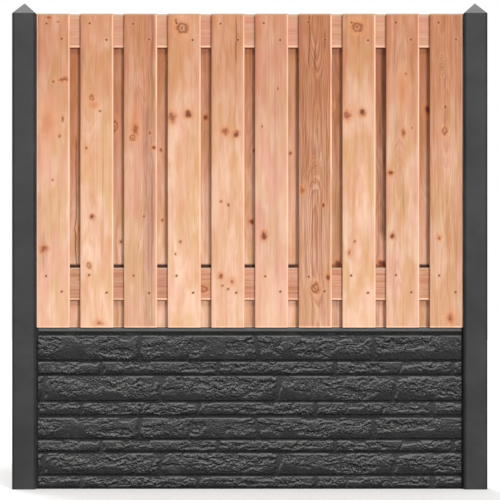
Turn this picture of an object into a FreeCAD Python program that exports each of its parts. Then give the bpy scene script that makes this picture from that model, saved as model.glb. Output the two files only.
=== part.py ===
"""One bay of a wood and concrete fence: two posts, two stone-faced base plates and a boarded panel.

X runs along the fence, the front looks towards -Y and Z points up from ground level.
The origin is the centre of the left post's foot. All sizes are in millimetres.
"""

import FreeCAD, Part

import math
import os
import re

import Sketcher

doc = FreeCAD.newDocument("FenceBay")

# Driving dimensions

SIZES = {
    # Posts
    "post_width": 100,
    "post_edge_chamfer": 7.5,
    "post_shaft_height": 2007,
    "post_head_rise": 44,
    "post_head_tip": 3,
    "slot_depth": 25,
    "slot_side_clearance": 4,
    "slot_end_clearance": 6,
    "slot_head_clearance": 4,
    # Wooden panel
    "panel_width": 1800,
    "panel_side_clearance": 2,
    "front_board_count": 10,
    "board_width": 140,
    "board_thickness": 16,
    "board_height": 1326,
    "board_edge_radius": 3,
    "rail_height": 137,
    "rail_thickness": 18,
    "rail_edge_radius": 2.5,
    "top_rail_drop": 6,
    "bottom_rail_rise": 116,
    # Base plates
    "plate_thickness": 34,
    "relief_depth": 12,
    "relief_end_margin": 9,
    "stone_lip": 3,
    "stone_toe": 2,
    "stone_crest_share": 0.42,
    "stone_length": 494,
    "head_joint": 9,
    "head_joint_flare": 6,
    "rim_depth": 11,
    "rim_bevel": 13,
    "rim_undercut": 5,
    "upper_top_margin": 35,
    "upper_tall_course": 103,
    "upper_low_course": 50,
    "upper_bed_joint": 9,
    "upper_foot_margin": 7,
    "lower_top_margin": 7,
    "lower_tall_course": 87,
    "lower_low_course": 44,
    "lower_bed_joint": 10,
    "lower_foot_margin": 7,
    "first_course_shift": 30,
    "second_course_shift": -132,
    "third_course_shift": 119,
    "fourth_course_shift": -217,
    # Angle brackets
    "bracket_leg": 40,
    "bracket_gauge": 3,
    "bracket_height": 60,
    "bracket_bend_radius": 3,
    "bracket_hole": 5,
    "bracket_hole_setback": 13,
    "bracket_hole_pitch": 30,
}

sheet = doc.addObject("Spreadsheet::Sheet", "Sizes")
for row, (alias, value) in enumerate(SIZES.items(), start=1):
    sheet.set("A%d" % row, alias)
    sheet.set("B%d" % row, str(value))
    sheet.setAlias("B%d" % row, alias)
doc.recompute()


def cells(expression):
    """Write the sheet's name before each alias of an expression."""
    return re.sub(r"\b(?!max\b|min\b)([a-z][a-z_]+)", r"Sizes.\1", expression)


def number(alias):
    """Read one cell of the sheet."""
    return float(sheet.get(alias))


# Places worked out from the driving dimensions

CLEAR_OPENING = "(panel_width + 2 * panel_side_clearance)"
POST_SPACING = "(post_width + %s)" % CLEAR_OPENING
PANEL_LEFT = "(post_width / 2 + panel_side_clearance)"
BOARD_STEP = "((panel_width - board_width) / (front_board_count - 1))"
PANEL_FRONT = "(-rail_thickness / 2 - board_thickness)"
PLATE_HEIGHT = (
    "(PLATE_top_margin + 2 * PLATE_tall_course + 2 * PLATE_low_course"
    " + 3 * PLATE_bed_joint + PLATE_foot_margin)"
)
UPPER_HEIGHT = PLATE_HEIGHT.replace("PLATE", "upper")
LOWER_HEIGHT = PLATE_HEIGHT.replace("PLATE", "lower")
PANEL_FOOT = "(%s + %s)" % (LOWER_HEIGHT, UPPER_HEIGHT)
PLATE_LENGTH = "(%s + 2 * (slot_depth - slot_end_clearance))" % CLEAR_OPENING
RELIEF_LENGTH = "(%s - 2 * relief_end_margin)" % CLEAR_OPENING
SLOT_WIDTH = "(plate_thickness + 2 * slot_side_clearance)"
SLOT_HEIGHT = "(%s + slot_head_clearance)" % PANEL_FOOT

pieces = []


# Helpers that build on one body's own origin planes

def new_body(name):
    """Start a body whose label is the piece's name."""
    body = doc.addObject("PartDesign::Body", "Body_" + name)
    body.Label = name
    pieces.append(body)
    return body


def place(body, x="0", y="0", z="0", turn=0.0):
    """Turn a body about Z and tie its place to the sheet."""
    body.Placement = FreeCAD.Placement(FreeCAD.Vector(), FreeCAD.Rotation(FreeCAD.Vector(0, 0, 1), turn))
    body.setExpression(".Placement.Base.x", cells(x))
    body.setExpression(".Placement.Base.y", cells(y))
    body.setExpression(".Placement.Base.z", cells(z))


def outline(body, name, plane, loops, lift=None):
    """Draw closed polygons on an origin plane, every corner tied to the sheet.

    A corner is a pair of expressions, measured from the sketch's own origin.
    """
    sketch = body.newObject("Sketcher::SketchObject", name)
    base = [part for part in body.Origin.OriginFeatures if part.Role == plane][0]
    sketch.AttachmentSupport = [(base, "")]
    sketch.MapMode = "FlatFace"
    if lift:
        sketch.setExpression(".AttachmentOffset.Base.z", cells(lift))
    for loop in loops:
        first = sketch.GeometryCount
        count = len(loop)
        for index in range(count):
            start = 2 * math.pi * index / count
            end = 2 * math.pi * (index + 1) / count
            line = Part.LineSegment(
                FreeCAD.Vector(math.cos(start), math.sin(start), 0),
                FreeCAD.Vector(math.cos(end), math.sin(end), 0),
            )
            sketch.addGeometry(line, False)
        for index in range(count):
            here = first + index
            after = first + (index + 1) % count
            sketch.addConstraint(Sketcher.Constraint("Coincident", here, 2, after, 1))
        for index, (across, along) in enumerate(loop):
            for kind, expression in (("DistanceX", across), ("DistanceY", along)):
                rule = sketch.addConstraint(Sketcher.Constraint(kind, -1, 1, first + index, 1, 1.0))
                sketch.setExpression("Constraints[%d]" % rule, cells(expression))
    return sketch


def box_loop(left, right, low, high):
    """Corners of an upright rectangle, from four expressions."""
    return [(left, low), (right, low), (right, high), (left, high)]


def round_holes(body, name, plane, centres, diameter):
    """Drill round holes through the whole body, both ways. A centre is a pair of expressions."""
    sketch = body.newObject("Sketcher::SketchObject", name + "_plan")
    base = [part for part in body.Origin.OriginFeatures if part.Role == plane][0]
    sketch.AttachmentSupport = [(base, "")]
    sketch.MapMode = "FlatFace"
    for across, along in centres:
        ring = sketch.addGeometry(Part.Circle(), False)
        rules = (("DistanceX", (-1, 1, ring, 3), across), ("DistanceY", (-1, 1, ring, 3), along),
                 ("Diameter", (ring,), diameter))
        for kind, places, expression in rules:
            rule = sketch.addConstraint(Sketcher.Constraint(kind, *places, 1.0))
            sketch.setExpression("Constraints[%d]" % rule, cells(expression))
    return pocket_through(body, name, sketch)


def pad(body, name, sketch, length, midplane=False):
    """Raise a sketch into a solid."""
    feature = body.newObject("PartDesign::Pad", name)
    feature.Profile = sketch
    feature.setExpression("Length", cells(length))
    feature.Midplane = midplane
    body.Tip = feature
    return feature


def pocket_through(body, name, sketch):
    """Cut a sketch through the whole body, both ways."""
    feature = body.newObject("PartDesign::Pocket", name)
    feature.Profile = sketch
    feature.Type = "ThroughAll"
    feature.Midplane = True
    body.Tip = feature
    return feature


def pocket_up(body, name, sketch, length):
    """Cut a plan upwards from its own level."""
    feature = body.newObject("PartDesign::Pocket", name)
    feature.Profile = sketch
    feature.Reversed = True
    feature.setExpression("Length", cells(length))
    body.Tip = feature
    return feature


def long_edges(feature, axis):
    """Names of the straight edges that run along one axis and over most of the piece."""
    box = feature.Shape.BoundBox
    reach = {"x": box.XLength, "z": box.ZLength}[axis]
    names = []
    for index, edge in enumerate(feature.Shape.Edges, start=1):
        ends = [vertex.Point for vertex in edge.Vertexes]
        if len(ends) == 2 and abs(getattr(ends[1] - ends[0], axis)) > 0.9 * reach:
            names.append("Edge%d" % index)
    return names


def upright_edge(feature, x, y):
    """Name of the upright edge that stands at one point of the plan."""
    for index, edge in enumerate(feature.Shape.Edges, start=1):
        if all(math.hypot(end.X - x, end.Y - y) < 0.01 for end in edge.Vertexes):
            return "Edge%d" % index
    raise RuntimeError("%s has no upright edge at %.1f, %.1f" % (feature.Name, x, y))


# Posts

def make_post(name, x):
    """A square shaft with chamfered edges, a pyramid head and a slot in each side for the plates."""
    body = new_body(name)
    half = "post_width / 2"
    square = outline(body, name + "_section", "XY_Plane",
                     [box_loop("-" + half, half, "-" + half, half)])
    shaft = pad(body, name + "_shaft", square, "post_shaft_height + post_head_rise")
    doc.recompute()
    edges = body.newObject("PartDesign::Chamfer", name + "_edges")
    edges.Base = (shaft, long_edges(shaft, "z"))
    edges.setExpression("Size", cells("post_edge_chamfer"))
    body.Tip = edges
    top = "post_shaft_height + post_head_rise"
    tip = "post_head_tip / 2"
    beyond = "post_width"
    for plane in ("XZ_Plane", "YZ_Plane"):
        slopes = []
        for sign in ("-", ""):
            slopes.append([
                (sign + half, "post_shaft_height"),
                (sign + tip, top),
                (sign + tip, top + " + " + tip),
                (sign + beyond, top + " + " + tip),
                (sign + beyond, "post_shaft_height"),
            ])
        cut = outline(body, "%s_head_%s" % (name, plane[:2]), plane, slopes)
        pocket_through(body, "%s_slope_%s" % (name, plane[:2]), cut)
    floor = "post_width / 2 - slot_depth"
    slots = [
        box_loop("-" + beyond, "-(%s)" % floor, "-%s / 2" % SLOT_WIDTH, "%s / 2" % SLOT_WIDTH),
        box_loop(floor, beyond, "-%s / 2" % SLOT_WIDTH, "%s / 2" % SLOT_WIDTH),
    ]
    groove = outline(body, name + "_slot_section", "XY_Plane", slots)
    pocket_up(body, name + "_slots", groove, SLOT_HEIGHT)
    place(body, x)


# Base plates

def stone_profiles(low, high):
    """Cross-sections of a course on both faces: out from a lip to the crest, and back under to a toe."""
    face = "plate_thickness / 2"
    crest = "%s + stone_crest_share * (%s - (%s))" % (low, high, low)
    profiles = []
    for sign in ("-", ""):
        profiles.append([
            (sign + "(%s)" % face, low),
            (sign + "(%s + stone_toe)" % face, low),
            (sign + "(%s + relief_depth)" % face, crest),
            (sign + "(%s + stone_lip)" % face, high),
            (sign + "(%s)" % face, high),
        ])
    return profiles


def joint_notches(shift):
    """Plan of a course's head joints on both faces, each wider at the crest than at the slab."""
    pitch = number("stone_length")
    reach = (number("panel_width") / 2 + number("panel_side_clearance")) - number("relief_end_margin")
    first = math.ceil((-reach - number(shift)) / pitch)
    last = math.floor((reach - number(shift)) / pitch)
    inner = "plate_thickness / 2"
    outer = "(plate_thickness / 2 + relief_depth)"
    notches = []
    for index in range(first, last + 1):
        middle = "%s + %d * stone_length" % (shift, index)
        narrow = "head_joint / 2"
        wide = "(head_joint / 2 + head_joint_flare)"
        for sign in ("-", ""):
            notches.append([
                ("%s - %s" % (middle, narrow), sign + inner),
                ("%s + %s" % (middle, narrow), sign + inner),
                ("%s + %s" % (middle, wide), sign + outer),
                ("%s - %s" % (middle, wide), sign + outer),
            ])
    return notches


def make_plate(name, kind, height, foot, with_rim):
    """A slab whose two faces carry four courses of crested stones, alternately tall and low."""
    body = new_body(name)
    half = "plate_thickness / 2"
    section = outline(body, name + "_section", "YZ_Plane", [box_loop("-" + half, half, "0", height)])
    pad(body, name + "_slab", section, PLATE_LENGTH, midplane=True)
    if with_rim:
        nose = "%s + rim_depth" % half
        edge = "%s - rim_bevel" % height
        under = "%s - rim_bevel - rim_undercut" % height
        rim = outline(body, name + "_rim_section", "YZ_Plane", [[
            ("-" + half, height), ("-(%s)" % nose, edge), ("-" + half, under),
            (half, under), (nose, edge), (half, height),
        ]])
        pad(body, name + "_rim", rim, RELIEF_LENGTH, midplane=True)
    low = "%s_foot_margin" % kind
    for course, shift in (("low", "fourth"), ("tall", "third"), ("low", "second"), ("tall", "first")):
        rise = "%s_%s_course" % (kind, course)
        high = "%s + %s" % (low, rise)
        stones = outline(body, "%s_%s_stones" % (name, shift), "YZ_Plane", stone_profiles(low, high))
        pad(body, "%s_%s_course" % (name, shift), stones, RELIEF_LENGTH, midplane=True)
        joints = outline(body, "%s_%s_joint_plan" % (name, shift), "XY_Plane",
                         joint_notches(shift + "_course_shift"), lift=low)
        pocket_up(body, "%s_%s_joints" % (name, shift), joints, rise)
        low = "%s + %s_bed_joint" % (high, kind)
    place(body, x=POST_SPACING + " / 2", z=foot)


# Wooden panel

def make_board(name, x, y):
    """An upright board with rounded long edges. x and y are its left front corner."""
    body = new_body(name)
    section = outline(body, name + "_section", "XY_Plane",
                      [box_loop("0", "board_width", "0", "board_thickness")])
    plank = pad(body, name + "_plank", section, "board_height")
    doc.recompute()
    edges = body.newObject("PartDesign::Fillet", name + "_edges")
    edges.Base = (plank, long_edges(plank, "z"))
    edges.setExpression("Radius", cells("board_edge_radius"))
    body.Tip = edges
    place(body, x, y, PANEL_FOOT)


def make_rail(name, rise):
    """A board laid across, with rounded long edges, between the front and the back boards."""
    body = new_body(name)
    half = "rail_thickness / 2"
    section = outline(body, name + "_section", "YZ_Plane", [box_loop("-" + half, half, "0", "rail_height")])
    plank = pad(body, name + "_plank", section, "panel_width")
    doc.recompute()
    edges = body.newObject("PartDesign::Fillet", name + "_edges")
    edges.Base = (plank, long_edges(plank, "x"))
    edges.setExpression("Radius", cells("rail_edge_radius"))
    body.Tip = edges
    place(body, PANEL_LEFT, "0", "%s + %s" % (PANEL_FOOT, rise))


# Angle brackets

def make_bracket(name, x, rail_rise, turn):
    """An angle of bent strip: one leg on the post's inner face, the other on the rail's back.

    Each leg has two screw holes.
    """
    body = new_body(name)
    section = outline(body, name + "_section", "XY_Plane", [[
        ("0", "0"), ("bracket_leg", "0"), ("bracket_leg", "bracket_gauge"),
        ("bracket_gauge", "bracket_gauge"), ("bracket_gauge", "bracket_leg"), ("0", "bracket_leg"),
    ]])
    strip = pad(body, name + "_strip", section, "bracket_height")
    doc.recompute()
    inner = body.newObject("PartDesign::Fillet", name + "_inner_bend")
    inner.Base = (strip, [upright_edge(strip, number("bracket_gauge"), number("bracket_gauge"))])
    inner.setExpression("Radius", cells("bracket_bend_radius"))
    doc.recompute()
    outer = body.newObject("PartDesign::Fillet", name + "_outer_bend")
    outer.Base = (inner, [upright_edge(inner, 0, 0)])
    outer.setExpression("Radius", cells("bracket_bend_radius + bracket_gauge"))
    body.Tip = outer
    levels = ["(bracket_height - bracket_hole_pitch) / 2", "(bracket_height + bracket_hole_pitch) / 2"]
    centres = [("bracket_leg - bracket_hole_setback", level) for level in levels]
    round_holes(body, name + "_rail_holes", "XZ_Plane", centres, "bracket_hole")
    round_holes(body, name + "_post_holes", "YZ_Plane", centres, "bracket_hole")
    middle = "%s + %s + (rail_height - bracket_height) / 2" % (PANEL_FOOT, rail_rise)
    place(body, x, "rail_thickness / 2", middle, turn)


make_post("left_post", "0")
make_post("right_post", POST_SPACING)
make_plate("lower_base_plate", "lower", LOWER_HEIGHT, "0", with_rim=False)
make_plate("upper_base_plate", "upper", UPPER_HEIGHT, LOWER_HEIGHT, with_rim=True)

rail_rises = {"top": "(board_height - top_rail_drop - rail_height)", "bottom": "bottom_rail_rise"}
for level, rise in rail_rises.items():
    make_rail(level + "_rail", rise)

front_boards = int(number("front_board_count"))
for index in range(front_boards):
    make_board("front_board_%02d" % (index + 1),
               "%s + %d * %s" % (PANEL_LEFT, index, BOARD_STEP), PANEL_FRONT)
for index in range(front_boards - 1):
    make_board("back_board_%02d" % (index + 1),
               "%s + (%d + 0.5) * %s" % (PANEL_LEFT, index, BOARD_STEP), "rail_thickness / 2")

for level, rise in rail_rises.items():
    make_bracket("left_%s_bracket" % level, "post_width / 2", rise, 0.0)
    make_bracket("right_%s_bracket" % level, "post_width / 2 + %s" % CLEAR_OPENING, rise, 90.0)

doc.recompute()

# Proof that every object was made, then one file for each piece

for item in doc.Objects:
    if "Invalid" in item.State or "Error" in item.State:
        raise RuntimeError("%s could not be built: %s" % (item.Label, item.State))

for piece in pieces:
    shape = piece.Shape
    if shape.isNull() or not shape.isValid() or len(shape.Solids) != 1:
        raise RuntimeError("%s is not one sound solid" % piece.Label)

os.makedirs("parts", exist_ok=True)
for piece in pieces:
    piece.Shape.exportStep("parts/%s.step" % piece.Label)
    box = piece.Shape.BoundBox
    print("%-22s X %8.1f %8.1f  Y %7.1f %7.1f  Z %8.1f %8.1f  volume %.6f m3" % (
        piece.Label, box.XMin, box.XMax, box.YMin, box.YMax, box.ZMin, box.ZMax, piece.Shape.Volume / 1e9))
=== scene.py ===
"""Dresses one bay of a wood and concrete fence: timber, cast stone, posts, screws, light and camera.

Metres throughout. X runs along the fence, the front looks towards -Y and Z points up from the ground.
"""

import math

import bmesh
import bpy
import numpy as np
from bpy.props import FloatProperty, FloatVectorProperty, IntProperty, PointerProperty
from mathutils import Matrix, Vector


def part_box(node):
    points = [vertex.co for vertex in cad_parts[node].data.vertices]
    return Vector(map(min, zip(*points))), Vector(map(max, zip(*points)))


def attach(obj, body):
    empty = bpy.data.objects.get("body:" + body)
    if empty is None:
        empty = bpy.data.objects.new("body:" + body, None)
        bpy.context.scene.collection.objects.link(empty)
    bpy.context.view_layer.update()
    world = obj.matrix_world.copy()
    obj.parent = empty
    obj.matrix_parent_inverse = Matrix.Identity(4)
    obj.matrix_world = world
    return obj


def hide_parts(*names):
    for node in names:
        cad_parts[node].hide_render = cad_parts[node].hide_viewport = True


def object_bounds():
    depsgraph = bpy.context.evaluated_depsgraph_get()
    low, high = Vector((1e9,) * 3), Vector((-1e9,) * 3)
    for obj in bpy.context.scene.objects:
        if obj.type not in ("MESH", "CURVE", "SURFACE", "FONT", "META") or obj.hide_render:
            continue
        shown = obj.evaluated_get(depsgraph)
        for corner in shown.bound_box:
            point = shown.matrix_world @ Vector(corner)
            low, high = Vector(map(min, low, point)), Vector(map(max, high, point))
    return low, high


bl_info = {
    "name": "Fence Bay Finish",
    "version": (1, 0, 0),
    "blender": (4, 5, 0),
    "location": "View3D > Sidebar > Fence",
    "description": "Finishes a fence bay of upright boards between concrete posts on stone-faced plates",
    "category": "Object",
}

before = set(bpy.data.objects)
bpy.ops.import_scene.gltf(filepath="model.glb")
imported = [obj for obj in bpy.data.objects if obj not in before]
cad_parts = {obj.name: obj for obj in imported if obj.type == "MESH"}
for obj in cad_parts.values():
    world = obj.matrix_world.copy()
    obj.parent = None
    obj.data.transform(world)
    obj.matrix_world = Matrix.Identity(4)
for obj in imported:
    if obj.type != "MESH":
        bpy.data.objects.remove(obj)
CAD_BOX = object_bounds()

MM = 0.001


def paint(red, green, blue):
    """A colour as a designer reads it, 0 to 255 a channel, turned into scene-linear values."""
    shares = np.array([red, green, blue]) / 255
    linear = np.where(shares <= 0.04045, shares / 12.92, ((shares + 0.055) / 1.055) ** 2.4)
    return tuple(float(share) for share in linear)


def edges_of(node):
    """Lowest and highest corner of one piece of the frame, as two plain arrays."""
    low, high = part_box(node)
    return np.array(low), np.array(high)


FRONT_BOARDS = sorted(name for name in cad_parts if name.startswith("front_board"))
BACK_BOARDS = sorted(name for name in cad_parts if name.startswith("back_board"))
RAILS = ["top_rail", "bottom_rail"]
POSTS = ["left_post", "right_post"]
BRACKETS = sorted(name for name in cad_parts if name.endswith("bracket"))
BAY_MIDDLE = (CAD_BOX[0][0] + CAD_BOX[1][0]) / 2

# Marks of each board: kind, distance from the board's left edge, height above its foot, radius, all in
# mm, and length over width. An eye is a small dark pin, a dead knot is dark all through, a live one is
# orange, a ring is a dark line round pale wood and arches are several such lines. A flame is a plain orange
# patch and rust is a brown smear. The mark round each screw is darker wood with the painted shadow of its
# sunk hole. Rails count across from their foot, and along from their left end.

FRONT_MARKS = [
    [("rust", 117, 1047, 19, 0.45), ("eye", 72, 1038, 5, 1.0), ("eye", 110, 881, 5, 2.2),
     ("eye", 96, 811, 6, 1.2), ("eye", 68, 624, 4, 1.0), ("rust", 30, 334, 12, 0.9),
     ("flame", 46, 862, 22, 2.2), ("rust", 52, 1308, 8, 0.6), ("eye", 91, 1291, 5, 0.8)],
    [("ring", 48, 972, 9, 1.2), ("flame", 56, 940, 15, 0.7), ("eye", 83, 913, 5, 0.8),
     ("eye", 26, 759, 4, 1.5), ("dead", 51, 467, 7, 1.2), ("ring", 37, 264, 8, 1.3),
     ("live", 83, 19, 13, 0.8)],
    [("flame", 45, 872, 10, 4.0), ("rust", 49, 834, 10, 2.0), ("ring", 37, 801, 10, 0.9),
     ("dead", 128, 760, 8, 0.9), ("eye", 109, 822, 4, 1.5), ("eye", 84, 470, 4, 1.0)],
    [("ring", 62, 1266, 20, 1.0), ("eye", 35, 1296, 5, 1.4), ("rust", 19, 888, 13, 1.3),
     ("dead", 87, 902, 11, 1.0), ("eye", 55, 362, 5, 1.0), ("eye", 34, 311, 4, 1.4)],
    [("rust", 59, 829, 13, 0.9), ("dead", 104, 817, 10, 1.0), ("eye", 41, 533, 5, 1.0),
     ("eye", 72, 520, 5, 1.2), ("dead", 40, 216, 7, 1.2), ("eye", 46, 177, 5, 1.0),
     ("live", 87, 194, 8, 1.3), ("eye", 71, 163, 5, 1.2)],
    [("dead", 38, 388, 9, 1.4), ("eye", 96, 1010, 3, 2.0), ("eye", 30, 850, 3, 2.0)],
    [("live", 16, 581, 9, 1.4), ("dead", 104, 518, 5, 1.4), ("dead", 125, 214, 7, 1.4),
     ("ring", 70, 167, 12, 1.6), ("arches", 66, 664, 15, 2.6)],
    [("live", 63, 1274, 11, 1.3), ("ring", 63, 1270, 19, 0.9), ("rust", 20, 896, 12, 1.3),
     ("dead", 84, 909, 10, 1.0), ("eye", 53, 364, 4, 1.2), ("live", 30, 318, 6, 2.0)],
    [("eye", 84, 1072, 5, 1.4), ("flame", 70, 1000, 16, 3.0), ("rust", 74, 822, 7, 2.0),
     ("dead", 19, 652, 9, 1.0), ("dead", 27, 388, 8, 1.1), ("eye", 109, 843, 3, 1.5)],
    [("arches", 53, 1110, 12, 2.6), ("eye", 65, 932, 5, 1.2), ("ring", 63, 831, 10, 1.3),
     ("live", 87, 40, 12, 1.5), ("live", 40, 380, 7, 1.5)],
]
BACK_MARKS = [
    [("eye", 40, 980, 6, 1.2), ("live", 96, 420, 10, 1.0)],
    [("ring", 50, 852, 13, 1.7), ("eye", 76, 363, 6, 1.2)],
    [("eye", 63, 752, 6, 1.2), ("eye", 70, 455, 5, 1.2), ("ring", 104, 1120, 11, 1.2)],
    [("dead", 69, 890, 8, 1.2), ("live", 30, 300, 9, 1.2)],
    [("eye", 87, 750, 6, 1.4), ("dead", 78, 448, 7, 1.2)],
    [("eye", 56, 738, 6, 1.2), ("live", 108, 250, 11, 1.2)],
    [("dead", 74, 264, 10, 1.6), ("ring", 34, 940, 11, 1.2)],
    [("dead", 76, 270, 15, 0.8), ("eye", 20, 700, 6, 1.2)],
    [("dead", 86, 919, 11, 1.4), ("live", 40, 520, 9, 1.2)],
]
RAIL_MARKS = [
    [("live", 60, 420, 11, 1.5), ("eye", 92, 1180, 7, 2.0), ("dead", 64, 1505, 8, 2.0)],
    [("ring", 48, 700, 12, 2.0), ("live", 96, 1530, 10, 1.5)],
]

# Dark streaks that follow the grain: across, low and high end, half width, in mm, and depth of colour.

FRONT_STREAKS = [
    [(65, -40, 412, 1.2, 0.35), (30, 250, 400, 9, 0.3), (52, 1290, 1400, 8, 0.35)],
    [(96, 300, 900, 4, 0.15), (12, 1080, 1180, 8, 0.3)],
    [(119, -40, 1400, 7, 0.48), (106, -40, 930, 24, 0.38), (104, 300, 1100, 2.5, 0.35),
     (50, 830, 1010, 6, 0.3), (84, 0, 1400, 2.5, 0.3), (60, -40, 350, 50, 0.07)],
    [(22, 100, 700, 5, 0.12)],
    [(103, 1120, 1310, 2.2, 0.85), (98, 700, 1120, 4, 0.2)],
    [(88, 200, 1000, 5, 0.16), (70, 250, 950, 50, 0.06)],
    [(44, 1100, 1400, 2.6, 0.95), (69, 1080, 1200, 2.8, 0.95), (108, 1180, 1250, 2.8, 0.95),
     (30, -40, 1100, 6, 0.26), (95, 100, 1100, 5, 0.32), (60, -40, 600, 4, 0.34), (78, 200, 900, 2.4, 0.5),
     (20, 500, 1000, 2.4, 0.45), (118, 300, 900, 2.4, 0.45), (65, 250, 1050, 42, 0.12)],
    [(24, 100, 700, 5, 0.12), (66, 1170, 1250, 2, 0.3)],
    [(71, 470, 590, 2.5, 0.5), (34, -40, 1400, 5, 0.16), (110, 900, 1200, 3, 0.2)],
    [(86, 1050, 1400, 3, 0.35), (34, 300, 900, 4, 0.2), (60, 1000, 1400, 2, 0.3),
     (110, 1100, 1400, 2, 0.3)],
]
BACK_STREAKS = [
    [(73, 250, 800, 3.0, 1.0)],
    [(60, -40, 1400, 8, 0.25)],
    [(80, -40, 1400, 9, 0.2)],
    [(66, 300, 1400, 7, 0.25)],
    [(74, -40, 1400, 8, 0.25)],
    [(84, 100, 1400, 8, 0.2)],
    [(66, -40, 1400, 10, 0.3)],
    [(78, 380, 1190, 13, 0.85), (60, -40, 1400, 6, 0.3)],
    [(82, -40, 1400, 7, 0.2)],
]
# On the top rail, the thin line 132 mm across from its foot is a painted shadow line under its top edge.
RAIL_STREAKS = [
    [(40, -40, 1900, 4, 0.15), (110, 300, 1700, 3, 0.2), (132, -40, 1900, 1.2, 0.5),
     (70, -40, 1900, 90, 0.08)],
    [(30, -40, 1900, 3, 0.35), (55, -40, 1900, 2.5, 0.35), (82, -40, 1900, 3, 0.3),
     (108, -40, 1900, 2.5, 0.35), (70, -40, 560, 90, 0.24), (70, 1640, 1900, 90, 0.16)],
]

# Each board's wood: how pink, how tan and how dark it is, from 0 to 1, the contrast of its rings, and
# the heart of its log as mm from the board's left edge and mm behind its front. The darkness of a back
# board is painted shade of the gap it shows through.

FRONT_WOODS = [
    (0.50, 0.45, 0.24, 0.18, 70, 62), (0.20, 0.65, 0.12, 0.16, 40, 85), (0.50, 0.50, 0.34, 0.40, 95, 48),
    (0.25, 0.60, 0.10, 0.16, 60, 90), (0.15, 0.75, 0.16, 0.25, 85, 70), (0.80, 0.20, 0.28, 0.12, 30, 80),
    (0.30, 0.60, 0.46, 0.95, 72, 40), (0.20, 0.60, 0.16, 0.15, 64, 85), (0.35, 0.60, 0.30, 0.34, 60, 55),
    (0.20, 0.80, 0.34, 0.60, 62, 42),
]
BACK_WOODS = [
    (0.20, 0.70, 0.66, 0.3, 60, 60), (0.50, 0.40, 0.54, 0.3, 85, 66), (0.20, 0.70, 0.46, 0.3, 50, 58),
    (0.40, 0.50, 0.50, 0.3, 74, 70), (0.25, 0.65, 0.44, 0.3, 66, 64), (0.25, 0.65, 0.42, 0.3, 40, 60),
    (0.20, 0.70, 0.60, 0.4, 80, 52), (0.45, 0.40, 0.60, 0.5, 70, 48), (0.20, 0.70, 0.68, 0.3, 90, 60),
]
RAIL_WOODS = [(0.80, 0.25, 0.54, 0.20, 30, 70), (0.62, 0.40, 0.60, 0.35, 90, 50)]


# What a user may change

COLOUR = {"subtype": "COLOR", "min": 0.0, "max": 1.0}
LIGHT = {"min": 0.0, "max": 20.0}


def limits(low, high):
    """The unit of a length and its limits, which are given in mm."""
    return {"unit": "LENGTH", "min": low * MM, "max": high * MM}


class FenceTimber(bpy.types.PropertyGroup):
    """Sizes and colours of the boards and rails."""

    arris: FloatProperty(
        name="Arris", description="Radius of the rounded long edges", default=3.2 * MM, **limits(0.5, 7))
    end_bevel: FloatProperty(
        name="End Bevel", description="Bevel round the sawn ends", default=1.4 * MM, **limits(0.2, 5))
    waver: FloatProperty(
        name="Waver", description="How far the planed faces leave a true plane",
        default=0.5 * MM, **limits(0, 2))
    ring_width: FloatProperty(
        name="Ring Width", description="Width of one year's growth in the log",
        default=5.2 * MM, **limits(1, 15))
    pale_wood: FloatVectorProperty(
        name="Pale Wood", description="Fresh sapwood", default=paint(238, 203, 177), **COLOUR)
    tan_wood: FloatVectorProperty(
        name="Tan Wood", description="Yellow and olive patches", default=paint(220, 177, 134), **COLOUR)
    pink_wood: FloatVectorProperty(
        name="Pink Wood", description="Pink patches", default=paint(232, 180, 158), **COLOUR)
    orange_wood: FloatVectorProperty(
        name="Orange Wood", description="Resin-rich patches", default=paint(214, 150, 98), **COLOUR)
    ring_wood: FloatVectorProperty(
        name="Ring Wood", description="Summer growth", default=paint(190, 130, 92), **COLOUR)
    dark_wood: FloatVectorProperty(
        name="Dark Wood", description="Streaks, splits and bark", default=paint(92, 46, 26), **COLOUR)
    # Painted shadow: the dark line in the corner just above each rail is painted shade.
    painted_shadow: FloatVectorProperty(
        name="Painted Shadow", description="Dirt in the corner above a rail", default=paint(58, 28, 14), **COLOUR)
    shaded_wood: FloatVectorProperty(
        name="Shaded Wood", description="What darker boards are multiplied by",
        default=paint(202, 170, 150), **COLOUR)
    end_wood: FloatVectorProperty(
        name="End Wood", description="Greyed wood at the sawn tops", default=paint(182, 156, 134), **COLOUR)
    # Painted highlight: the pale rounded edges are painted light, and the front boards' feet are painted
    # paler with it.
    painted_highlight_wood: FloatVectorProperty(
        name="Painted Highlight", description="Freshly rounded edges", default=paint(250, 202, 172), **COLOUR)


class FenceStone(bpy.types.PropertyGroup):
    """Sizes and colours of the stone-faced base plates."""

    slab: FloatProperty(
        name="Slab", description="Thickness of the plate between its stones",
        default=34 * MM, **limits(20, 80))
    end_margin: FloatProperty(
        name="End Margin", description="Bare strip between the post and the first stone",
        default=9 * MM, **limits(0, 60))
    stone_length: FloatProperty(
        name="Stone Length", description="One stone and its head joint",
        default=494 * MM, **limits(100, 900))
    head_joint: FloatProperty(
        name="Head Joint", description="Upright joint between two stones", default=6 * MM, **limits(2, 30))
    mesh_step: FloatProperty(
        name="Mesh Step", description="Spacing of the surface's points", default=3 * MM, **limits(2, 20))
    bulge: FloatProperty(
        name="Bulge", description="How far a stone's crest stands out", default=5.5 * MM, **limits(1, 20))
    break_depth: FloatProperty(
        name="Break Depth", description="Depth of the broken rock texture", default=6 * MM, **limits(0, 15))
    # Painted shade: a stone turns from the first colour at its top to the foot colour at its foot. The foot
    # colour also fills the beds and the bare slab.
    concrete: FloatVectorProperty(
        name="Concrete", description="Colour at the top of a stone", default=paint(56, 56, 57), **COLOUR)
    foot_concrete: FloatVectorProperty(
        name="Foot Concrete", description="Colour at a stone's foot and bed",
        default=paint(22, 22, 23), **COLOUR)


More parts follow.
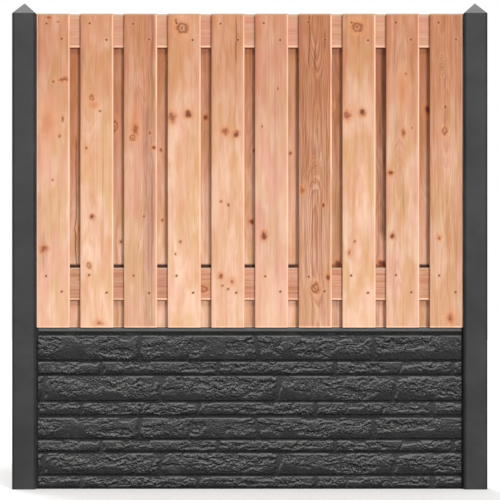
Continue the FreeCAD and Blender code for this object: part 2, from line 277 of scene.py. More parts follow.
class FencePosts(bpy.types.PropertyGroup):
    """Edges and colours of the concrete posts."""

    edge_round: FloatProperty(
        name="Edge Rounding", description="Rounding of the cast edges", default=1.3 * MM, **limits(0.2, 6))
    head_rise: FloatProperty(
        name="Head Rise", description="Height of the pyramid head", default=44 * MM, **limits(5, 200))
    concrete: FloatVectorProperty(
        name="Concrete", description="Colour of the posts", default=paint(57, 57, 58), **COLOUR)
    # Painted shade: the posts turn to this colour towards the foot.
    shaded_concrete: FloatVectorProperty(
        name="Shaded Concrete", description="Colour at the foot", default=paint(48, 48, 48), **COLOUR)


class FenceFixings(bpy.types.PropertyGroup):
    """Screws and their places."""

    head_radius: FloatProperty(
        name="Head Radius", description="Radius of a screw's head", default=3.9 * MM, **limits(1, 10))
    head_stand: FloatProperty(
        name="Head Stand", description="How far a head stands out of the wood",
        default=0.5 * MM, **limits(0, 4))
    near_inset: FloatProperty(
        name="Left Inset", description="From a board's left edge to its upper screw",
        default=40 * MM, **limits(5, 70))
    far_inset: FloatProperty(
        name="Right Inset", description="From a board's right edge to its lower screw",
        default=31 * MM, **limits(5, 70))
    row_inset: FloatProperty(
        name="Row Inset", description="From a rail's edge to the screws", default=34 * MM, **limits(5, 70))
    lobes: IntProperty(name="Lobes", description="Lobes of the driver's recess", default=6, min=3, max=8)


class FenceStudio(bpy.types.PropertyGroup):
    """Camera and light."""

    distance: FloatProperty(
        name="Camera Distance", description="From the camera to the boards' front",
        default=12000 * MM, **limits(1000, 50000))
    eye_height: FloatProperty(
        name="Eye Height", description="Height of the camera", default=1009 * MM, **limits(0, 5000))
    view_width: FloatProperty(
        name="View Width", description="Width of the view at the boards' front",
        default=2110.5 * MM, **limits(500, 20000))
    key_strength: FloatProperty(
        name="Key Strength", description="Strength of the front light", default=1.85, **LIGHT)
    top_strength: FloatProperty(
        name="Top Strength", description="Strength of the high light", default=1.6, **LIGHT)
    back_strength: FloatProperty(
        name="Back Strength", description="Strength of the light behind", default=1.6, **LIGHT)
    sky_strength: FloatProperty(
        name="Sky Strength", description="Strength of the even light all round", default=0.5, **LIGHT)


# Shader nodes by short names

class Nodes:
    """One material's or sky's node tree, with a short call for each kind of node it uses."""

    def __init__(self, owner, surface="Principled BSDF"):
        owner.use_nodes = True
        self.owner = owner
        self.tree = owner.node_tree
        self.surface = self.tree.nodes[surface]

    def put(self, socket, value):
        """Link a socket to another node's output, or set it to a plain value."""
        if isinstance(value, bpy.types.NodeSocket):
            self.tree.links.new(value, socket)
        elif hasattr(value, "__len__") and len(value) == 3 and len(socket.default_value) == 4:
            socket.default_value = (*value, 1.0)
        else:
            socket.default_value = value

    def add(self, kind, values=(), **options):
        """Add a node, set its options, and link or set its inputs by number or name. Gives its outputs."""
        node = self.tree.nodes.new("ShaderNode" + kind)
        for option, setting in options.items():
            setattr(node, option, setting)
        for key, value in values.items() if isinstance(values, dict) else enumerate(values):
            self.put(node.inputs[key], value)
        return node.outputs

    def math(self, operation, *values):
        return self.add("Math", values, operation=operation)[0]

    def plus(self, first, *others):
        for other in others:
            first = self.math("ADD", first, other)
        return first

    def less(self, first, other):
        return self.math("SUBTRACT", first, other)

    def times(self, first, other):
        return self.math("MULTIPLY", first, other)

    def most(self, first, other):
        return self.math("MAXIMUM", first, other)

    def vector(self, operation, *values):
        outputs = self.add("VectorMath", values, operation=operation)
        return outputs["Value"] if operation == "LENGTH" else outputs["Vector"]

    def place(self):
        """The point in the object's own frame, which is the fence's frame."""
        return self.add("TexCoord")["Object"]

    def drawn(self, vector, *scales):
        """The point multiplied axis by axis, so that a pattern on it is drawn out along some of them."""
        return self.vector("MULTIPLY", vector, scales)

    def about_zero(self, noise, span):
        """A noise from 0 to 1 moved to lie about zero, over a span."""
        return self.times(self.less(noise, 0.5), span)

    def seen(self):
        """1 where the camera sees it, straight or in a mirror or glass, and 0 where it only gives light."""
        path = self.add("LightPath")
        seen = self.most(path["Is Camera Ray"], path["Is Glossy Ray"])
        return self.most(seen, path["Is Transmission Ray"])

    def attribute(self, name):
        return self.add("Attribute", attribute_name=name)["Fac"]

    def split(self, vector):
        return tuple(self.add("SeparateXYZ", [vector]))

    def join(self, x, y, z):
        return self.add("CombineXYZ", (x, y, z))[0]

    def noise(self, vector, scale, detail=2.0, roughness=0.5):
        values = {"Vector": vector, "Scale": scale, "Detail": detail, "Roughness": roughness}
        return self.add("TexNoise", values)["Fac"]

    def clouds(self, vector, scale):
        """Three noises at once, as a vector from 0 to 1."""
        return self.add("TexNoise", {"Vector": vector, "Scale": scale})["Color"]

    def cells(self, vector, scale):
        return self.add("TexVoronoi", {"Vector": vector, "Scale": scale})["Distance"]

    def fade(self, value, start, end, low=0.0, high=1.0):
        """A smooth step from low at start to high at end."""
        ends = (value, start, end, low, high)
        return self.add("MapRange", ends, interpolation_type="SMOOTHSTEP")["Result"]

    def ranged(self, value, low, high):
        """Low where the value is 0 and high where it is 1, in a straight line between."""
        return self.add("MapRange", (value, 0.0, 1.0, low, high))["Result"]

    def ramp(self, value, stops):
        """Colour and cover by a value. A stop is position, colour and cover."""
        node = self.tree.nodes.new("ShaderNodeValToRGB")
        marks = node.color_ramp.elements
        while len(marks) < len(stops):
            marks.new(0.5)
        for mark, (position, colour, cover) in zip(marks, stops):
            mark.position = position
            mark.color = (*colour, cover)
        self.put(node.inputs[0], value)
        return node.outputs["Color"], node.outputs["Alpha"]

    def mix(self, share, base, other, blend="MIX"):
        values = {"Factor": share, "A": base, "B": other}
        return self.add("Mix", values, data_type="RGBA", blend_type=blend)["Result"]

    def coats(self, colour, coats):
        """Lay coats of colour over one another. A coat is its share and its colour, 0 to 255 a channel."""
        for share, coat in coats:
            colour = self.mix(share, colour, paint(*coat))
        return colour

    def finish(self, colour, roughness, height, depth, gloss):
        """Join the finished channels to the surface. Depth is the bump's height in metres."""
        bump = self.add("Bump", {"Strength": 1.0, "Distance": depth, "Height": height})
        self.put(self.surface.inputs["Base Color"], colour)
        self.put(self.surface.inputs["Roughness"], roughness)
        self.surface.inputs["Specular IOR Level"].default_value = gloss
        self.put(self.surface.inputs["Normal"], bump["Normal"])
        return self.owner


def new_material(name):
    return Nodes(bpy.data.materials.new(name))


# Timber

KNOT_REACH = 2.4
STREAK_END = 30 * MM
FLAT_MARKS = ("screw_shadow", "flame")
SWIRLS = [(200.0, 8, 8), (95.0, 12, 15), (40.0, 26, 32)]
KNOT_LOOKS = {
    "ring": [(0.0, (120, 66, 36), 0.9), (0.08, (150, 90, 52), 0.8), (0.15, (204, 146, 102), 0.55),
             (0.21, (176, 112, 68), 0.75), (0.28, (132, 76, 42), 0.9), (0.36, (142, 84, 48), 0.85),
             (0.45, (194, 126, 82), 0.6), (0.62, (212, 144, 98), 0.35), (1.0, (222, 158, 114), 0.0)],
    "arches": [(0.0, (150, 92, 56), 0.8), (0.1, (206, 148, 106), 0.4), (0.17, (136, 80, 46), 0.85),
               (0.24, (210, 152, 110), 0.35), (0.31, (140, 84, 50), 0.8), (0.38, (212, 156, 114), 0.3),
               (0.45, (150, 94, 58), 0.65), (0.52, (214, 158, 116), 0.2), (0.62, (222, 160, 118), 0.0)],
    "live": [(0.0, (104, 44, 14), 0.9), (0.09, (130, 62, 26), 0.85), (0.18, (168, 92, 48), 0.75),
             (0.33, (186, 108, 60), 0.62), (0.45, (202, 128, 78), 0.48), (0.72, (212, 142, 92), 0.3),
             (1.0, (222, 158, 110), 0.0)],
    "dead": [(0.0, (92, 36, 8), 0.95), (0.14, (112, 50, 18), 0.92), (0.25, (94, 38, 10), 0.88),
             (0.34, (160, 84, 42), 0.8), (0.5, (188, 112, 64), 0.58), (0.78, (206, 136, 88), 0.3),
             (1.0, (222, 156, 110), 0.0)],
    "eye": [(0.0, (96, 40, 12), 0.9), (0.2, (120, 60, 28), 0.8), (0.36, (168, 102, 58), 0.5),
            (0.6, (206, 140, 92), 0.28), (1.0, (222, 160, 118), 0.0)],
    "flame": [(0.0, (190, 118, 76), 0.62), (0.16, (196, 124, 80), 0.66), (0.32, (202, 132, 88), 0.6),
              (0.6, (214, 148, 106), 0.3), (1.0, (224, 162, 122), 0.0)],
    "rust": [(0.0, (124, 60, 28), 0.9), (0.12, (150, 82, 44), 0.85), (0.2, (130, 66, 32), 0.88),
             (0.34, (174, 100, 58), 0.74), (0.6, (206, 136, 90), 0.4), (1.0, (222, 158, 114), 0.0)],
    "screw_shadow": [(0.0, (96, 52, 28), 0.9), (0.28, (124, 74, 44), 0.75), (0.42, (184, 124, 84), 0.4),
              (0.8, (214, 152, 110), 0.12), (1.0, (224, 160, 120), 0.0)],
}


def mark_fields(nodes, point, across, marks):
    """Each kind's distance to its nearest mark, in radii, and the place across, pushed aside by the knots.

    A mark is an ellipse whose outline is torn by three sizes of swirls. A knot pushes the grain aside by
    the bell curve of its distance.
    """
    ragged = (0.0, 0.0, 0.0)
    for scale, reach_across, reach_along in SWIRLS:
        swirl = nodes.vector("SUBTRACT", nodes.clouds(point, scale), (0.5, 0.5, 0.5))
        ragged = nodes.vector("ADD", nodes.drawn(swirl, reach_across * MM, 0.0, reach_along * MM), ragged)
    shifted = across
    nearest = {}
    for kind, mark_across, mark_along, radius, slender in marks:
        pull = min(radius / 14, 1.0)
        offset = nodes.vector("SUBTRACT", point, (mark_across * MM, 0.0, mark_along * MM))
        offset = nodes.vector("ADD", offset, nodes.drawn(ragged, pull, pull, pull))
        apart = nodes.drawn(offset, 1 / (radius * MM), 0.0, 1 / (radius * slender * MM))
        apart = nodes.vector("LENGTH", apart)
        nearest[kind] = nodes.math("MINIMUM", apart, nearest.get(kind, 9.0))
        if kind not in FLAT_MARKS:
            bell = nodes.math("EXPONENT", nodes.times(nodes.math("POWER", apart, 2.0), -1 / KNOT_REACH ** 2))
            shifted = nodes.less(shifted, nodes.times(nodes.less(across, mark_across * MM), bell))
    return nearest, shifted


def growth_rings(nodes, point, shifted, lane, heart, ring_width, seed):
    """How much of the year's dark summer wood a point has, from 0 to 1.

    The rings are circles about the log's heart, which sways and leans along the board.
    """
    sway = nodes.about_zero(nodes.noise(lane, 2.4, 1.0), 0.075)
    lean = nodes.about_zero(nodes.noise(nodes.vector("ADD", lane, (5.0, 3.0, 1.0)), 2.0, 1.5), 0.085)
    sideways = nodes.plus(nodes.less(shifted, heart[0] * MM), sway)
    behind = nodes.plus(nodes.less(nodes.split(point)[1], heart[1] * MM), lean)
    from_heart = nodes.vector("LENGTH", nodes.join(sideways, behind, 0.0))
    stray = nodes.noise(nodes.drawn(point, 60.0, 60.0, 14.0), 1.0, 2.0)
    rings = nodes.plus(nodes.math("DIVIDE", from_heart, ring_width), nodes.times(stray, 0.8))
    year = nodes.math("FRACT", rings)
    late = nodes.times(nodes.fade(year, 0.1, 0.84), nodes.fade(year, 0.9, 1.0, 1.0, 0.0))
    strong_years = nodes.noise(nodes.join(rings, seed * 3.1, 0.0), 0.37, 1.0)
    return nodes.times(late, nodes.fade(strong_years, 0.25, 0.75, 0.25, 1.0))


def resin_streaks(nodes, along, shifted, lane, streaks):
    """Cover of the dark streaks: bell curves across the grain, which wander and fade in and out along it."""
    wander = nodes.about_zero(nodes.noise(lane, 7.0, 2.0), 0.016)
    cover = 0.0
    for streak_across, low, high, half, depth in streaks:
        off = nodes.less(nodes.plus(shifted, wander), streak_across * MM)
        bell = nodes.times(nodes.math("POWER", nodes.math("DIVIDE", off, half * MM), 2.0), -1.0)
        band = nodes.times(nodes.math("EXPONENT", bell), depth)
        starts = nodes.fade(along, low * MM - STREAK_END, low * MM + STREAK_END)
        stops = nodes.fade(along, high * MM - STREAK_END, high * MM + STREAK_END, 1.0, 0.0)
        cover = nodes.most(nodes.times(band, nodes.times(starts, stops)), cover)
    return cover


def timber(name, corner, size, upright, marks, streaks, wood, painted_top_shade, painted_shadow_lines, painted_highlight_left, seed):
    """Sawn softwood as a solid texture of the log it was cut from.

    A face shows straight grain or arches by where it cuts the log's rings. Painted shadow lines lie just
    above each height in its list, full over the first length given with it and gone at the second. They and
    the board's shade, which on such a board is painted shade of the gaps, stay on its front. Across, deep
    and along are measured from the board's lower left front corner.
    """
    settings = bpy.context.scene.fence_timber
    pink, tan, darkness, contrast, *heart = wood
    nodes = new_material(name)
    x, y, z = nodes.split(nodes.vector("SUBTRACT", nodes.place(), tuple(corner)))
    across, along = (x, z) if upright else (z, x)
    width, length = (size[0], size[2]) if upright else (size[2], size[0])
    point = nodes.join(across, y, along)
    lane = nodes.join(seed * 1.7, seed * 0.9, along)
    nearest, shifted = mark_fields(nodes, point, across, marks)
    late = growth_rings(nodes, point, shifted, lane, heart, settings.ring_width, seed)

    # Fibres, streaks and broad patches, all drawn out along the grain
    own = nodes.vector("ADD", point, (seed * 0.37, seed * 0.11, seed * 0.53))
    fibre = nodes.noise(nodes.drawn(own, 380.0, 380.0, 9.0), 1.0, 3.0, 0.6)
    line = nodes.noise(nodes.drawn(own, 150.0, 150.0, 3.0), 1.0, 2.0, 0.5)
    streak = nodes.noise(nodes.drawn(own, 40.0, 40.0, 4.0), 1.0, 3.0, 0.55)
    broad = nodes.noise(nodes.drawn(own, 17.0, 17.0, 4.5), 1.0, 2.0, 0.5)
    blush = nodes.vector("ADD", own, (3.1, 1.7, 4.3))
    blush = nodes.noise(nodes.drawn(blush, 15.0, 15.0, 5.0), 1.0, 2.0, 0.5)
    resin = nodes.vector("ADD", own, (7.7, 2.9, 8.1))
    resin = nodes.noise(nodes.drawn(resin, 24.0, 24.0, 7.5), 1.0, 3.0, 0.55)
    height = nodes.fade(along, 0.4, length) if upright else 0.5

    colour = nodes.mix(nodes.fade(broad, 0.40, 0.60, max(tan - 0.55, 0.0), min(tan + 0.4, 1.0)),
                       settings.pale_wood, settings.tan_wood)
    colour = nodes.mix(nodes.fade(blush, 0.41, 0.60, max(pink - 0.55, 0.0), min(pink + 0.3, 1.0)),
                       colour, settings.pink_wood)
    warm = nodes.times(nodes.fade(resin, 0.46, 0.70), 0.5)
    # Painted shade: upright boards turn more orange towards the top.
    if upright:
        warm = nodes.most(warm, nodes.times(height, nodes.fade(resin, 0.36, 0.6, 0.15, 0.6)))
    warm = nodes.times(warm, min(1.25 - pink, 1.0) * (1 - 0.5 * contrast))
    colour = nodes.mix(warm, colour, settings.orange_wood)
    colour = nodes.mix(nodes.times(late, contrast), colour, settings.ring_wood)

    shade = nodes.plus(nodes.times(nodes.fade(streak, 0.42, 0.68), 0.16),
                       nodes.times(nodes.fade(line, 0.5, 0.64), 0.10 + 0.35 * contrast ** 2),
                       nodes.times(nodes.fade(fibre, 0.4, 0.75), 0.10), darkness)
    # Painted shade: an upright board darkens towards its top, and along its left edge near the top beside
    # the gap.
    if upright:
        shade = nodes.plus(shade, nodes.fade(along, *painted_top_shade),
                           nodes.times(nodes.fade(across, 0.0, 26 * MM, 0.22, 0.0), height))
    # Painted shade: on a back board the shade is the gaps' painted shade, so it stays on the front face.
    if painted_shadow_lines:
        shade = nodes.times(shade, nodes.fade(y, 4 * MM, 11 * MM, 1.0, 0.35))
    shade = nodes.most(shade, 0.0)
    deep = nodes.mix(1.0, colour, settings.shaded_wood, "MULTIPLY")
    colour = nodes.mix(shade, colour, deep)
    # Painted shadow lines in the corner just above each rail.
    for level, full, none in painted_shadow_lines:
        painted_shadow = nodes.times(nodes.fade(along, level - 1 * MM, level),
                            nodes.fade(along, level + full, level + none, 1.0, 0.0))
        painted_shadow = nodes.times(painted_shadow, nodes.fade(y, 3 * MM, 6 * MM, 1.0, 0.0))
        colour = nodes.mix(painted_shadow, colour, settings.painted_shadow)
    # Painted light: the front boards turn paler towards their foot.
    if upright and not painted_shadow_lines:
        colour = nodes.mix(nodes.fade(along, 0.4, 0.0, 0.0, 0.16), colour, settings.painted_highlight_wood)

    # Dark streaks and knots over the grain, and painted highlights on the rounded edges over everything
    cover = resin_streaks(nodes, along, shifted, lane, streaks)
    broken = nodes.times(cover, nodes.fade(line, 0.3, 0.6, 0.45, 1.0))
    colour = nodes.mix(broken, colour, settings.dark_wood)
    knot = 0.0
    for kind, apart in nearest.items():
        radii = nodes.times(apart, 1 / 3)
        stops = [(position, paint(*stop), share) for position, stop, share in KNOT_LOOKS[kind]]
        tint, tint_cover = nodes.ramp(radii, stops)
        colour = nodes.mix(tint_cover, colour, tint)
        if kind != "flame":
            knot = nodes.most(knot, nodes.fade(radii, 0.2, 0.4, 1.0, 0.0))
    # Painted highlight on an upright board's right rounded edge and its foot, on the first board's left
    # edge, and along a rail's lower edge.
    lit_edge = (width - 8 * MM, width - 4.5 * MM) if upright else (10 * MM, 7 * MM)
    edge = nodes.fade(across, *lit_edge)
    if upright:
        edge = nodes.most(edge, nodes.fade(along, 8 * MM, 5 * MM))
    if painted_highlight_left:
        edge = nodes.most(edge, nodes.fade(across, 7 * MM, 4 * MM))
    edge = nodes.times(edge, nodes.fade(streak, 0.35, 0.6, 0.9, 0.5))
    colour = nodes.mix(edge, colour, settings.painted_highlight_wood)
    upward, top = (along, length) if upright else (across, width)
    sawn = nodes.fade(upward, top - 8 * MM, top - 5 * MM, 0.0, 0.8)
    colour = nodes.mix(sawn, colour, settings.end_wood)

    roughness = nodes.less(nodes.fade(fibre, 0.3, 0.7, 0.58, 0.72), nodes.times(late, 0.08))
    relief = nodes.plus(nodes.times(fibre, 0.55), nodes.times(late, 0.35 * contrast))
    relief = nodes.plus(nodes.less(relief, nodes.times(cover, 0.5)), nodes.times(knot, 0.4))
    return nodes.finish(colour, roughness, relief, 0.7 * MM, gloss=0.25)


# Surfaces worked out as arrays

def lattice(u, v, cell_u, cell_v, seed):
    """Smooth noise from 0 to 1: random values on a lattice, blended by the curve 3t^2 - 2t^3."""
    draw = np.random.default_rng(seed)
    size = 256
    table = draw.random((size, size))
    a, b = u / cell_u, v / cell_v
    i, j = np.floor(a).astype(int), np.floor(b).astype(int)
    s, t = a - i, b - j
    s, t = s * s * (3 - 2 * s), t * t * (3 - 2 * t)
    low = table[i % size, j % size] * (1 - s) + table[(i + 1) % size, j % size] * s
    high = table[i % size, (j + 1) % size] * (1 - s) + table[(i + 1) % size, (j + 1) % size] * s
    return low * (1 - t) + high * t


def chips(u, v, cell_u, cell_v, seed):
    """Broken flakes from about -1 to 1: each point takes the plane of its nearest random centre.

    The planes lean every way, but most of them rise with v, so a flake ends in a drop on that side.
    """
    draw = np.random.default_rng(seed)
    size = 256
    centre_u, centre_v, tilt_u, tilt_v, level = draw.random((5, size, size))
    i, j = np.floor(u / cell_u).astype(int), np.floor(v / cell_v).astype(int)
    best = np.full(u.shape, np.inf)
    height = np.zeros(u.shape)
    for di in (-1, 0, 1):
        for dj in (-1, 0, 1):
            p, q = (i + di) % size, (j + dj) % size
            du = u / cell_u - (i + di + centre_u[p, q])
            dv = v / cell_v - (j + dj + centre_v[p, q])
            gap = du * du + dv * dv
            plane = 0.9 * (level[p, q] - 0.5) + 0.9 * (tilt_u[p, q] - 0.5) * du + (tilt_v[p, q] + 0.15) * dv
            height = np.where(gap < best, plane, height)
            best = np.minimum(best, gap)
    return height


def quads(rows, columns, first=0, closed=False):
    """Corner numbers of a grid's faces. A closed grid joins its last column to its first."""
    last = columns if closed else columns - 1
    i, j = np.meshgrid(np.arange(rows - 1), np.arange(last), indexing="ij")
    after = (j + 1) % columns
    faces = np.stack([i * columns + j, i * columns + after, (i + 1) * columns + after,
                      (i + 1) * columns + j], axis=-1)
    return (faces.reshape(-1, 4) + first).tolist()


def piece(name, points, faces, material, slot, *nodes, smooth_angle=40.0):
    """Make a closed mesh with outward faces, dress it and hand it to the frame."""
    mesh = bpy.data.meshes.new(name)
    mesh.from_pydata(points.reshape(-1, 3).tolist(), [], faces)
    work = bmesh.new()
    work.from_mesh(mesh)
    bmesh.ops.recalc_face_normals(work, faces=work.faces)
    work.to_mesh(mesh)
    work.free()
    mesh.shade_smooth()
    mesh.set_sharp_from_angle(angle=math.radians(smooth_angle))
    mesh.materials.append(material)
    made = bpy.data.objects.new(name, mesh)
    bpy.context.scene.collection.objects.link(made)
    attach(made, "root")
    if nodes:
        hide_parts(*nodes)
    return made


def tube(sections):
    """Faces of closed rings of points, one ring a row, with a flat cap at each end."""
    rows, columns = sections.shape[:2]
    faces = quads(rows, columns, closed=True)
    faces.append(list(range(columns)))
    faces.append(list(range((rows - 1) * columns, rows * columns)))
    return faces


def joined(shells):
    """Points and faces of several shells as one. A shell starts with its points and its faces."""
    faces = []
    count = 0
    for shell in shells:
        faces += [[corner + count for corner in corners] for corners in shell[1]]
        count += len(shell[0])
    return np.concatenate([shell[0] for shell in shells]), faces


BOARD_STEP = 18 * MM
FIRST_STEP = 10 * MM
CORNER_POINTS = 6
FACE_POINTS = 12


def board_mesh(low, high, upright, arris, end_bevel, waver, outer, seed):
    """A planed board: a rounded rectangle carried along the grain.

    Each corner is a quarter circle whose radius wanders along the board, the outer face dips by smooth
    noise, and the last step at each end draws the section in, as a bevel.
    """
    size = high - low
    width, thickness, length = (size[0], size[1], size[2]) if upright else (size[2], size[1], size[0])
    inner = np.linspace(FIRST_STEP, length - FIRST_STEP, int(length / BOARD_STEP))
    steps = np.concatenate([[0.0, end_bevel], inner, [length - end_bevel, length]])
    ends = np.minimum(steps, length - steps)
    inset = end_bevel * np.clip(1 - ends / end_bevel, 0, 1)
    quarter = np.radians(np.linspace(0, 90, CORNER_POINTS))
    along = steps[:, None]
    outline_u, outline_v = [], []
    for corner, (side, face, turn) in enumerate([(1, 1, 0), (-1, 1, 90), (-1, -1, 180), (1, -1, 270)]):
        radius = arris * (0.8 + 0.5 * lattice(along, along * 0 + corner, 0.11, 1.0, seed))
        angle = quarter + math.radians(turn)
        outline_u.append(side * (width / 2 - radius) + radius * np.cos(angle))
        outline_v.append(face * (thickness / 2 - radius) + radius * np.sin(angle))
        if corner in (0, 2):
            fill = np.linspace(1, -1, FACE_POINTS + 2)[1:-1] * side
            reach = width / 2 - arris * 1.6
            outline_u.append(np.broadcast_to(fill * reach, (len(steps), len(fill))))
            outline_v.append(np.full((len(steps), len(fill)), face * thickness / 2))
    u = np.concatenate(outline_u, axis=1)
    v = np.concatenate(outline_v, axis=1)
    dip = waver * lattice(u + 3.0, along + 0 * u, 0.05, 0.16, seed + 1)
    v = np.where(v * outer > thickness * 0.3, v - outer * dip, v)
    u -= np.sign(u) * np.minimum(inset[:, None], np.abs(u))
    v -= np.sign(v) * inset[:, None]
    w = np.broadcast_to(along, u.shape)
    middle = (low + high) / 2
    if upright:
        points = np.stack([middle[0] + u, middle[1] + v, low[2] + w], axis=-1)
    else:
        points = np.stack([low[0] + w, middle[1] + v, middle[2] + u], axis=-1)
    return points, tube(points)


def screw_spots(node):
    """Where a board's screws go: at each rail one high on the left and one low on the right, as X and Z."""
    settings = bpy.context.scene.fence_fixings
    low, high = edges_of(node)
    draw = np.random.default_rng(len(node) * 100 + int(node[-2:]))
    spots = []
    for rail in RAILS:
        rail_low, rail_high = edges_of(rail)
        for x, z in ((low[0] + settings.near_inset, rail_high[2] - settings.row_inset),
                     (high[0] - settings.far_inset, rail_low[2] + settings.row_inset)):
            shift = draw.uniform(-4 * MM, 4 * MM, 2)
            spots.append((x + shift[0], z + shift[1]))
    return spots


def make_boards(nodes, marks, streaks, woods, upright, outer, slot, painted_top_shade, first_seed):
    """One planed board for each node, each cut from its own log.

    The painted top shade is two heights above the board's foot and the change of the painted shade at each:
    it paints a board darker towards its top, and a back board paler at its foot.
    """
    settings = bpy.context.scene.fence_timber
    for number, node in enumerate(nodes):
        low, high = edges_of(node)
        seed = first_seed + number
        screw_shadows, painted_shadow_lines = [], []
        if upright:
            screw_shadows = [("screw_shadow", (x - low[0]) / MM, (z - low[2]) / MM, 4.2, 1.0)
                      for x, z in screw_spots(node)]
        if upright and outer > 0:
            painted_shadow_lines = [(edges_of("bottom_rail")[1][2] - low[2], 9 * MM, 21 * MM),
                    (edges_of("top_rail")[1][2] - low[2], 2 * MM, 3 * MM)]
        finish = timber("wood_of_" + node, low, high - low, upright, marks[number] + screw_shadows,
                        streaks[number], woods[number], painted_top_shade, painted_shadow_lines, node == FRONT_BOARDS[0], seed)
        points, faces = board_mesh(low, high, upright, settings.arris, settings.end_bevel,
                                   settings.waver, outer, seed)
        piece(node + "_timber", points, faces, finish, slot, node)


class FENCE_OT_front_boards(bpy.types.Operator):
    """Plane, round and grain the boards on the front"""

    bl_idname = "fence.front_boards"
    bl_label = "Front Boards"

    def execute(self, context):
        # Painted shade: darker towards the boards' tops.
        make_boards(FRONT_BOARDS, FRONT_MARKS, FRONT_STREAKS, FRONT_WOODS, True, -1, "board_timber",
                    (0.55, 1.25, 0.0, 0.41), 10)
        return {"FINISHED"}


class FENCE_OT_back_boards(bpy.types.Operator):
    """Plane, round and grain the boards behind the gaps"""

    bl_idname = "fence.back_boards"
    bl_label = "Back Boards"

    def execute(self, context):
        # Painted shade: darker towards the top, and painted light towards the foot.
        make_boards(BACK_BOARDS, BACK_MARKS, BACK_STREAKS, BACK_WOODS, True, 1, "board_timber",
                    (0.0, 1.2, -0.4, 0.34), 40)
        return {"FINISHED"}


class FENCE_OT_rails(bpy.types.Operator):
    """Plane, round and grain the two rails between the boards"""

    bl_idname = "fence.rails"
    bl_label = "Rails"

    def execute(self, context):
        make_boards(RAILS, RAIL_MARKS, RAIL_STREAKS, RAIL_WOODS, False, 0, "rail_timber", None, 70)
        return {"FINISHED"}


# Concrete

# What each point of a plate carries: painted light and shade by how its relief turns, how broken it is, and
# how far down its stone it lies, which the material paints as shade.
LOOKS = ("painted_light", "broken", "foot")


def cast_concrete(name, colour, foot_colour, head_level):
    """Dark cast concrete: soft clouds of bloom, sand grains, air holes, a painted highlight on the head and
    painted shade towards the foot.

    The bevelled edges take painted shade. They lie where the distances from the post's axis, along X and
    along Y, add up to the most.
    """
    nodes = new_material(name)
    point = nodes.place()
    cloud = nodes.noise(point, 6.0, 4.0, 0.6)
    grain = nodes.noise(point, 420.0, 3.0, 0.7)
    sand = nodes.noise(point, 1300.0, 1.0)
    x, y, height = nodes.split(point)
    aside = nodes.less(nodes.math("ABSOLUTE", nodes.less(x, BAY_MIDDLE)), BAY_MIDDLE)
    apart = nodes.plus(nodes.math("ABSOLUTE", aside), nodes.math("ABSOLUTE", y))
    hole = nodes.times(nodes.fade(nodes.cells(point, 95.0), 0.07, 0.13, 1.0, 0.0),
                       nodes.fade(nodes.noise(point, 22.0, 1.0), 0.55, 0.62))
    # Painted shade: the posts darken towards the foot.
    finished = nodes.mix(nodes.fade(height, 0.0, 1.9, 1.0, 0.0), colour, foot_colour)
    # Over it, painted shade on the bevelled edges, a painted highlight on the pyramid head, then bloom,
    # sand, grain and air holes.
    finished = nodes.coats(finished, [
        (nodes.fade(apart, 89 * MM, 92 * MM, 0.0, 0.85), (22, 22, 22)),
        (nodes.fade(height, head_level - 1 * MM, head_level + 4 * MM, 0.0, 0.75), (128, 128, 128)),
        (nodes.fade(cloud, 0.3, 0.75, 0.0, 0.14), (118, 118, 118)),
        (nodes.fade(sand, 0.55, 0.75, 0.0, 0.25), (130, 128, 124)),
        (nodes.fade(grain, 0.6, 0.3, 0.0, 0.3), (30, 30, 31)),
        (nodes.times(hole, 0.7), (24, 24, 24)),
    ])
    roughness = nodes.fade(cloud, 0.3, 0.7, 0.78, 0.9)
    relief = nodes.less(nodes.plus(nodes.times(grain, 0.4), nodes.times(sand, 0.2)), hole)
    return nodes.finish(finished, roughness, relief, 0.6 * MM, gloss=0.2)


def rock_concrete(name, colour, foot_colour):
    """Cast rock face: painted shade towards a stone's foot, painted light on what turns up and painted shade
    on what turns down.

    The flecks are painted light and shade of the fine relief: noise less the same noise a little higher,
    which is their own turn up or down.
    """
    nodes = new_material(name)
    point = nodes.place()
    grit = nodes.noise(point, 260.0, 4.0, 0.7)
    sand = nodes.noise(point, 1100.0, 1.0)
    cloud = nodes.noise(point, 13.0, 4.0, 0.6)
    mottle = nodes.noise(point, 125.0, 3.0, 0.7)
    higher = nodes.vector("ADD", point, (0.8 * MM, 0.0, 2.4 * MM))
    flecks = nodes.less(mottle, nodes.noise(higher, 125.0, 3.0, 0.7))
    painted_light, broken, foot = (nodes.attribute(look) for look in LOOKS)
    rough = nodes.fade(broken, 0.1, 0.6, 0.25, 1.0)
    # Painted shade: each stone darkens towards its foot.
    finished = nodes.mix(foot, colour, foot_colour)
    # The coats by how the relief turns, and by the flecks, are painted light where it turns up and painted
    # shade where it turns down.
    finished = nodes.coats(finished, [
        (nodes.fade(cloud, 0.5, 0.75, 0.0, 0.25), (86, 86, 87)),
        (nodes.fade(cloud, 0.5, 0.28, 0.0, 0.5), (22, 22, 23)),
        (nodes.fade(painted_light, 0.54, 1.0, 0.0, 0.8), (118, 117, 115)),
        (nodes.fade(painted_light, 0.50, 0.10, 0.0, 1.0), (8, 8, 9)),
        (nodes.times(rough, nodes.fade(flecks, 0.02, 0.18, 0.0, 0.6)), (150, 149, 147)),
        (nodes.times(rough, nodes.fade(flecks, -0.01, -0.16, 0.0, 0.95)), (12, 12, 13)),
        (nodes.fade(grit, 0.56, 0.8, 0.0, 0.25), (132, 130, 127)),
        (nodes.fade(grit, 0.44, 0.2, 0.0, 0.4), (22, 22, 23)),
    ])
    roughness = nodes.fade(cloud, 0.3, 0.7, 0.70, 0.84)
    lumps = nodes.times(mottle, nodes.fade(broken, 0.1, 0.6, 0.3, 1.6))
    relief = nodes.plus(lumps, nodes.times(grit, 0.4), nodes.times(sand, 0.1))
    return nodes.finish(finished, roughness, relief, 2.4 * MM, gloss=0.15)


